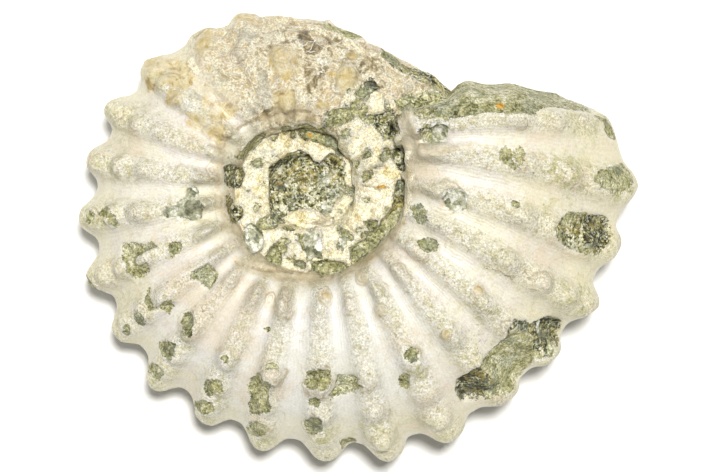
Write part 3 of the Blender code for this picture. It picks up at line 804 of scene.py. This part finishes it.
# The finish. Shades are the screen's 0 to 255 as seen in full light, which shows a level surface so
# much brighter than its own shade. A ramp's shades come with their places on what it colours.
finish = {
    "fullLight": 1.3,
    "clouds": [
        (0.28, 220, 224, 218), (0.4, 242, 233, 231), (0.49, 249, 245, 235), (0.58, 246, 240, 219),
        (0.72, 234, 226, 192)],
    "flakes": [
        (0.3, 160, 148, 104), (0.39, 216, 206, 166), (0.46, 241, 234, 204), (0.53, 255, 254, 246),
        (0.61, 246, 238, 202), (0.71, 212, 200, 152)],
    "cool": (243, 244, 243), "yellowed": (250, 240, 202), "outer": (236, 226, 180), "warm": (236, 217, 188),
    "pock": (158, 142, 98), "fleck": (255, 254, 248), "dust": (194, 191, 132), "speck": (122, 116, 68),
    "crack": (190, 178, 145), "growthLine": (170, 156, 128),
    "wall": [(0.35, 166, 150, 112), (0.48, 208, 192, 152), (0.6, 232, 220, 190)],
    "mosaic": [
        (0.3, 86, 72, 44), (0.37, 150, 132, 92), (0.43, 212, 196, 156), (0.48, 253, 249, 230),
        (0.525, 232, 212, 164), (0.57, 206, 184, 140), (0.63, 224, 216, 206), (0.7, 255, 252, 242)],
    "blush": [(0.35, 206, 190, 154), (0.5, 236, 222, 184), (0.65, 230, 226, 216)],
    "vein": (252, 249, 236),
    "layers": [
        (0.05, 226, 196, 156), (0.2, 253, 250, 238), (0.3, 204, 182, 142), (0.37, 252, 248, 232),
        (0.46, 174, 154, 112), (0.55, 244, 238, 216)],
    "tan": [(0.36, 184, 164, 124), (0.47, 222, 206, 168), (0.58, 242, 229, 200), (0.68, 250, 246, 230)],
    "honey": [
        (0.3, 136, 108, 60), (0.4, 196, 170, 116), (0.48, 228, 210, 156), (0.58, 242, 231, 196),
        (0.7, 206, 176, 102)],
    "gold": (218, 190, 112), "grey": [(0.35, 156, 148, 122), (0.5, 202, 196, 176), (0.65, 232, 226, 206)],
    "chalk": [
        (0.34, 232, 212, 156), (0.42, 250, 240, 196), (0.48, 253, 251, 238), (0.54, 247, 234, 184),
        (0.6, 254, 252, 240), (0.68, 226, 204, 150)],
    "crumbs": [(0.36, 132, 116, 72), (0.43, 214, 200, 152), (0.49, 252, 246, 222), (0.58, 255, 252, 238)],
    # the chalk's multiplier is painted light, brightening it against the umbilicus's shade
    "dirt": (170, 160, 116), "stain": (160, 138, 94), "chalkPaintedLight": (1.28, 1.27, 1.23, 1.0),
    "sandstone": [
        (0.02, 48, 50, 28), (0.2, 96, 96, 58), (0.38, 142, 143, 98), (0.54, 174, 174, 126),
        (0.72, 212, 208, 158), (0.92, 250, 246, 222)],
    "ochre": (188, 170, 94), "coolRock": (156, 164, 146), "darkChip": (52, 54, 32),
    "paleChip": (250, 249, 236),
    # the rock edge's colour is painted shade
    "fibre": (206, 206, 182), "rockEdgePaintedShade": (84, 80, 50), "orange": [(0.4, 206, 148, 52), (0.6, 240, 188, 80)],
    "crystal": [
        (0.1, 92, 94, 74), (0.3, 140, 142, 114), (0.5, 188, 188, 162), (0.66, 232, 232, 216),
        (0.82, 254, 254, 250)],
    # the outer edges' multiplier is painted light
    "outerPaintedLight": (1.11, 1.11, 1.08, 1.0), "fibreTurn": -0.75, "fibreScale": (260, 2600, 1200),
    "bumpStrength": 0.9, "bumpDepth": 0.001, "ior": 1.5,
}


def colour(red, green, blue):
    # from the screen's 0 to 255, as seen in full light, to the renderer's linear shade
    values = np.array([red, green, blue]) / 255
    linear = np.where(values <= 0.04045, values / 12.92, ((values + 0.055) / 1.055) ** 2.4)
    return (*linear / finish["fullLight"], 1.0)


class Wiring:
    # short words for making and joining a material's nodes
    def __init__(self, name):
        self.material = bpy.data.materials.new(name)
        self.material.use_nodes = True
        self.tree = self.material.node_tree
        self.shader = self.tree.nodes["Principled BSDF"]
        self.place = self.add("TexCoord").outputs["Object"]

    def add(self, kind, inputs=(), **settings):
        node = self.tree.nodes.new("ShaderNode" + kind)
        for name, value in settings.items():
            setattr(node, name, value)
        for socket, value in dict(inputs).items():
            self.put(node.inputs[socket], value)
        return node

    def put(self, socket, value):
        if isinstance(value, bpy.types.NodeSocket):
            self.tree.links.new(value, socket)
        else:
            socket.default_value = value

    def read(self, name):
        return self.add("Attribute", attribute_name=name, attribute_type="GEOMETRY").outputs["Fac"]

    def noise(self, scale, detail=2.0, rough=0.5, twist=0.0, place=None, output="Fac"):
        inputs = {"Vector": place or self.place, "Scale": scale, "Detail": detail, "Roughness": rough}
        return self.add("TexNoise", {**inputs, "Distortion": twist}).outputs[output]

    def cells(self, scale, output="Color", feature="F1", place=None):
        node = self.add("TexVoronoi", {"Vector": place or self.place, "Scale": scale}, feature=feature)
        return node.outputs[output]

    def channel(self, colours, name):
        return self.add("SeparateColor", {"Color": colours}).outputs[name]

    def bentPlace(self, amount):
        # the place moved about by noise, so that a pattern's straight edges wander
        colours = self.noise(220.0, 3.0, output="Color")
        shift = self.add("VectorMath", {0: colours, 1: (0.5, 0.5, 0.5)}, operation="SUBTRACT").outputs[0]
        shift = self.add("VectorMath", {0: shift, "Scale": amount}, operation="SCALE").outputs[0]
        return self.add("VectorMath", {0: self.place, 1: shift}, operation="ADD").outputs[0]

    def math(self, operation, first, second=0.0, third=0.0):
        return self.add("Math", {0: first, 1: second, 2: third}, operation=operation).outputs[0]

    def times(self, first, second):
        return self.math("MULTIPLY", first, second)

    def plus(self, first, second):
        return self.math("ADD", first, second)

    def larger(self, first, second):
        return self.math("MAXIMUM", first, second)

    def scaled(self, value, factor, offset=0.0):
        return self.math("MULTIPLY_ADD", value, factor, offset)

    def span(self, value, low, high, toLow=0.0, toHigh=1.0):
        inputs = {"Value": value, "From Min": low, "From Max": high, "To Min": toLow, "To Max": toHigh}
        return self.add("MapRange", inputs, interpolation_type="SMOOTHSTEP").outputs["Result"]

    def ramp(self, value, name):
        node = self.add("ValToRGB", {"Fac": value})
        stops = finish[name]
        while len(node.color_ramp.elements) < len(stops):
            node.color_ramp.elements.new(0.5)
        for element, (position, *shade) in zip(node.color_ramp.elements, stops):
            element.position = position
            element.color = colour(*shade)
        return node.outputs["Color"]

    def mix(self, amount, first, second, blend="MIX"):
        node = self.add("Mix", data_type="RGBA", blend_type=blend, clamp_factor=True)
        for number, value in ((0, amount), (6, first), (7, second)):
            self.put(node.inputs[number], value)
        return node.outputs[2]

    def over(self, amount, first, name):
        return self.mix(amount, first, colour(*finish[name]))

    def blend(self, amount, first, second):
        node = self.add("Mix", data_type="FLOAT", clamp_factor=True)
        for number, value in ((0, amount), (2, first), (3, second)):
            self.put(node.inputs[number], value)
        return node.outputs[0]


def fossilFinish():
    # Each stuff has a colour, a roughness and a height, and they are laid over one another where
    # its field, shaken by noise of three sizes, rises over nought.
    w = Wiring("fossilShell")
    read, noise, cells, ramp, mix, over, blend = w.read, w.noise, w.cells, w.ramp, w.mix, w.over, w.blend
    times, plus, larger, scaled, span = w.times, w.plus, w.larger, w.scaled, w.span
    chill, cream, dusk, dusty, rock, row, worn = map(
        read, ("chill", "cream", "dusk", "dusty", "rock", "row", "worn"))
    fine = span(noise(3000, 2), 0.3, 0.7, -0.6, 0.6)
    middling = span(noise(900, 3), 0.3, 0.7, -0.9, 0.9)
    shake = plus(fine, plus(middling, span(noise(360, 3), 0.3, 0.7, -1.0, 1.0)))

    def mask(name, soft=0.5, shaken=1.0):
        return span(scaled(shake, shaken, read(name)), -soft, soft)

    # shell: smooth white in the hollows with clouds of pink and grey blue, and on the ribs a crust
    # of cream and white flakes, dusted yellow green and specked
    onRib = span(scaled(noise(230, 3), 1.6, plus(read("ribCos"), -0.8)), -0.9, 1.1)
    clouds, flakes = ramp(noise(95, 4, 0.62, 0.6), "clouds"), ramp(noise(560, 6, 0.74, 0.2), "flakes")
    shell = mix(scaled(onRib, 0.5, 0.34), clouds, flakes)
    outward = span(scaled(noise(110, 3), 6.0, row), 9.5, 15.0)
    shell = over(times(larger(chill, 0.0), scaled(onRib, -0.35, 0.55)), shell, "cool")
    shell = over(scaled(larger(scaled(chill, -1.0), 0.0), 0.32), shell, "yellowed")
    shell = over(scaled(outward, 0.45), shell, "outer")
    shell = over(span(noise(62, 5, 0.66, 0.3), 0.5, 0.62, 0.0, 0.5), shell, "warm")
    shell = over(times(span(noise(700, 3, 0.6), 0.62, 0.68), scaled(onRib, 0.5, 0.12)), shell, "pock")
    shell = over(times(span(noise(800, 3, 0.6, 0.5), 0.61, 0.66), scaled(onRib, 0.6, 0.3)), shell, "fleck")
    dust = plus(plus(scaled(onRib, 0.38), scaled(dusty, 0.9)), scaled(times(outward, onRib), 0.35))
    spread = times(span(noise(420, 6, 0.78), 0.46, 0.6), span(noise(85, 3), 0.38, 0.58, 0.25, 1.25))
    shell = over(scaled(times(dust, spread), 0.8), shell, "dust")
    specks = times(span(noise(1500, 3, 0.8), 0.58, 0.66), scaled(dusty, 0.7, scaled(onRib, 0.45, 0.1)))
    shell = over(scaled(specks, 0.85), shell, "speck")
    cracks = span(cells(170, "Distance", "DISTANCE_TO_EDGE", w.bentPlace(0.006)), 0.02, 0.0)
    shell = over(scaled(times(cracks, span(noise(120, 3), 0.5, 0.62)), 0.5), shell, "crack")
    # fine growth lines follow the ribs: the sine of a multiple of the angle within a rib
    turnInRib = w.math("ARCTAN2", read("ribSin"), read("ribCos"))
    bent = scaled(noise(330, 3), 14.0, scaled(turnInRib, 13.0))
    lines = scaled(w.math("SINE", bent), 0.5, 0.5)
    shell = over(scaled(lines, 0.07), shell, "growthLine")
    # the wall that drops into the umbilicus is smooth and tan
    wall = times(span(scaled(noise(260, 3), 1.6, row), 3.0, 2.0), span(cream, 2.0, -2.0))
    shell = mix(scaled(wall, 0.8), shell, ramp(noise(420, 5, 0.66, 1.2), "wall"))
    # older shell: a mosaic of white, cream, honey, grey and brown crystals, with white veins
    mosaic = ramp(scaled(dusk, -0.15, noise(230, 7, 0.72, 1.2)), "mosaic")
    mosaic = mix(scaled(dusk, -0.4, 0.06), mosaic, ramp(noise(130, 4, 0.6), "blush"))
    veins = span(cells(430, "Distance", "DISTANCE_TO_EDGE", w.bentPlace(0.004)), 0.07, 0.0)
    mosaic = over(times(veins, span(noise(240, 3), 0.45, 0.6)), mosaic, "vein")
    shell = mix(scaled(worn, 0.94), shell, mosaic)
    # the layered shell of the tubercles
    layer = scaled(noise(380, 4), 1.2, plus(read("boss"), -0.6))
    here = times(read("ringed"), span(noise(260, 3), 0.4, 0.6, 0.15, 0.75))
    here = larger(span(noise(120, 2), 0.45, 0.66, 0.0, 0.6), here)
    shell = mix(times(span(layer, 1.25, 0.9), here), shell, ramp(scaled(layer, 0.5), "layers"))
    shell = mix(scaled(mask("tan", 1.8), 0.62), shell, ramp(noise(360, 5, 0.66, 0.4), "tan"))
    # honey-coloured and grey places
    amberMask = mask("amber", 2.2, 1.4)
    patchy = span(noise(150, 4, 0.6), 0.38, 0.56, 0.25, 0.95)
    surface = mix(times(amberMask, patchy), shell, ramp(noise(340, 6, 0.66, 1.2), "honey"))
    streaks = span(noise(420, 5, 0.74, 0.6), 0.44, 0.6, 0.0, 0.75)
    surface = over(times(mask("gold", 3.0), streaks), surface, "gold")
    surface = mix(scaled(mask("grey", 1.2), 0.75), surface, ramp(noise(500, 5, 0.66), "grey"))
    # chalky cream, dirty next to rock, and brightened all over with painted light against the umbilicus's
    # shade
    chalk = mix(0.5, ramp(noise(140, 4, 0.6, 0.3), "chalk"), ramp(noise(560, 5, 0.74, 0.3), "crumbs"))
    dirt = times(span(rock, -4.0, -0.6), span(noise(330, 5, 0.7), 0.42, 0.56))
    chalk = mix(1.0, over(scaled(dirt, 0.6), chalk, "dirt"), finish["chalkPaintedLight"], "MULTIPLY")
    creamMask = mask("cream", 0.6)
    surface = mix(creamMask, surface, chalk)
    surface = over(scaled(mask("stained", 0.8, 0.8), 0.6), surface, "stain")
    # green sandy rock: each grain its own shade, evener in the small places and mixed in the dark
    # ones, with ochre stains, pale and dark chips, and long crystals
    mixed, coarse = span(dusk, 0.0, 0.12), span(dusk, 0.1, 0.3)
    shade = w.channel(cells(2300), "Red")
    tone = times(plus(shade, -0.5), scaled(mixed, 0.42, scaled(coarse, 0.3, 0.44)))
    stain = times(plus(noise(420, 5, 0.64), -0.5), scaled(mixed, 1.2, scaled(coarse, 1.0, 1.5)))
    broad = scaled(noise(75, 3, 0.6), 0.7, scaled(dusk, -0.75, span(row, 0.3, 0.0, 0.18, 0.34)))
    blocks = w.channel(cells(950, place=w.bentPlace(0.0015)), "Blue")
    broad = scaled(plus(blocks, -0.5), scaled(coarse, 0.3, 0.1), broad)
    sandstone = ramp(plus(plus(tone, stain), broad), "sandstone")
    ochre = times(span(noise(280, 4, 0.7), 0.47, 0.6), scaled(mixed, 0.35, 0.18))
    sandstone = over(ochre, sandstone, "ochre")
    sandstone = over(scaled(span(noise(170, 4, 0.6), 0.52, 0.62), 0.4), sandstone, "coolRock")
    darkness = w.math("MINIMUM", scaled(dusk, 1.8, 0.2), 0.85)
    sandstone = over(times(span(noise(900, 3, 0.6), 0.45, 0.39), darkness), sandstone, "darkChip")
    paleness = scaled(dusk, -0.75, scaled(mixed, 0.5, 0.35))
    sandstone = over(times(span(noise(1400, 3, 0.6), 0.57, 0.62), paleness), sandstone, "paleChip")
    turned = {"Vector": w.place, "Rotation": (0, 0, finish["fibreTurn"]), "Scale": finish["fibreScale"]}
    fibres = span(noise(1.0, 3, 0.6, 0.3, w.add("Mapping", turned).outputs["Vector"]), 0.54, 0.66)
    sandstone = over(scaled(times(fibres, span(dusk, 0.25, 0.4)), 0.6), sandstone, "fibre")
    # painted shade: a dark line just inside the rock's edge, where the shell's step would shade it
    sandstone = over(span(rock, 1.2, -0.6, 0.0, 0.15), sandstone, "rockEdgePaintedShade")
    rim = times(span(rock, -3.0, -0.8), span(noise(300, 3), 0.42, 0.6, 0.0, 0.7))
    rockMask = mask("rock", 0.5)
    surface = mix(rockMask, over(rim, surface, "vein"), sandstone)
    surface = mix(mask("orange", 0.8, 0.5), surface, ramp(noise(1300, 3), "orange"))
    # crystals in the pits
    facets = {"scale": 800, "place": w.bentPlace(0.002)}
    facetShade = scaled(dusk, -0.35, scaled(w.channel(cells(**facets), "Green"), 0.45, -0.68))
    crystalMask = mask("crystal", 0.4, 0.7)
    surface = mix(crystalMask, surface, ramp(scaled(noise(420, 5, 0.72), 2.0, facetShade), "crystal"))
    # a fine grain over all, faint in the smooth hollows
    grainy = blend(worn, scaled(onRib, 0.7, 0.22), 1.0)
    grainy = blend(larger(amberMask, mask("tan", 1.5)), grainy, 0.35)
    grainy = blend(larger(creamMask, rockMask), grainy, 1.0)
    surface = mix(grainy, surface, span(noise(2300, 4, 0.85), 0.4, 0.6, 0.72, 1.31), "MULTIPLY")
    # painted light: the outer edges are brightened, paler than the light on their slopes makes them
    surface = mix(span(row, 8.0, 12.0), surface, finish["outerPaintedLight"], "MULTIPLY")

    rough = blend(amberMask, 0.42, 0.3)
    for stuffMask, stuffRough in ((creamMask, 0.75), (rockMask, 0.92), (crystalMask, 0.45)):
        rough = blend(stuffMask, rough, stuffRough)
    height = scaled(lines, 0.03, scaled(noise(900, 4, 0.6), 0.14))
    height = scaled(times(larger(onRib, worn), noise(1400, 5, 0.75)), 0.4, height)
    height = blend(creamMask, height, scaled(noise(1000, 5, 0.74), 0.8))
    grainHeight = scaled(cells(2300, "Distance"), -0.35, scaled(noise(900, 5, 0.66), 0.45))
    height = blend(rockMask, height, grainHeight)
    height = blend(crystalMask, height, scaled(cells(output="Distance", **facets), 0.3))
    bump = {"Strength": finish["bumpStrength"], "Distance": finish["bumpDepth"], "Height": height}
    w.put(w.shader.inputs["Base Color"], surface)
    w.put(w.shader.inputs["Roughness"], rough)
    w.put(w.shader.inputs["Normal"], w.add("Bump", bump).outputs["Normal"])
    w.shader.inputs["IOR"].default_value = finish["ior"]
    return w.material


mesh.materials.append(fossilFinish())
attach(fossil, "root")
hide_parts("ammonite")
print("finish done")

# A flat white sheet of paper under the fossil.
floorSettings = {"half": 6.0, "shade": (0.95, 0.95, 0.95, 1.0), "roughness": 0.9}
corners = [(x * floorSettings["half"], y * floorSettings["half"], 0)
           for x, y in ((-1, -1), (1, -1), (1, 1), (-1, 1))]
floorMesh = bpy.data.meshes.new("floor")
floorMesh.from_pydata(corners, [], [(0, 1, 2, 3)])
paper = Wiring("paper")
paper.shader.inputs["Base Color"].default_value = floorSettings["shade"]
paper.shader.inputs["Roughness"].default_value = floorSettings["roughness"]
floorMesh.materials.append(paper.material)
floor = bpy.data.objects.new("floor", floorMesh)
bpy.context.scene.collection.objects.link(floor)

# Soft light: an even room, a wide sky straight above, and a large lamp from the top of the picture.
lighting = {
    "room": 0.19, "roomShade": (0.93, 0.955, 1.0, 1.0),
    "overhead": 3.85, "overheadShade": (1.0, 0.985, 0.935), "overheadSpread": 6.5,
    "overheadTilt": (-6.0, 2.4, 0),
    "lampPower": 1.0, "lampShade": (1.0, 0.985, 0.96), "lampSize": 0.6, "lampPlace": (-0.25, 0.65, 0.75),
}
world = bpy.data.worlds.new("room")
world.use_nodes = True
background = world.node_tree.nodes["Background"]
background.inputs["Color"].default_value = lighting["roomShade"]
background.inputs["Strength"].default_value = lighting["room"]
bpy.context.scene.world = world


def addLight(name, kind, power, shade):
    # a light of this kind in the scene
    data = bpy.data.lights.new(name, kind)
    data.energy, data.color = lighting[power], lighting[shade]
    light = bpy.data.objects.new(name, data)
    bpy.context.scene.collection.objects.link(light)
    return light


lamp = addLight("softLamp", "AREA", "lampPower", "lampShade")
lamp.data.size = lighting["lampSize"]
lamp.location = lighting["lampPlace"]
lamp.rotation_mode = "QUATERNION"
lamp.rotation_quaternion = (-Vector(lighting["lampPlace"])).to_track_quat("-Z", "Y")
sky = addLight("overhead", "SUN", "overhead", "overheadShade")
sky.data.angle = math.radians(lighting["overheadSpread"])
sky.rotation_euler = np.radians(lighting["overheadTilt"])

cameraData = bpy.data.cameras.new("camera")
cameraData.sensor_width = view["sensor"]
cameraData.lens = view["sensor"] * view["distance"] / (view["width"] * view["pixel"])
cameraData.clip_end = 50
camera = bpy.data.objects.new("camera", cameraData)
camera.location = (*lensPlace, view["focus"] + view["distance"])
bpy.context.scene.collection.objects.link(camera)
bpy.context.scene.camera = camera
bpy.context.scene.view_settings.view_transform = "Standard"
print("light and camera set")

bpy.context.view_layer.update()
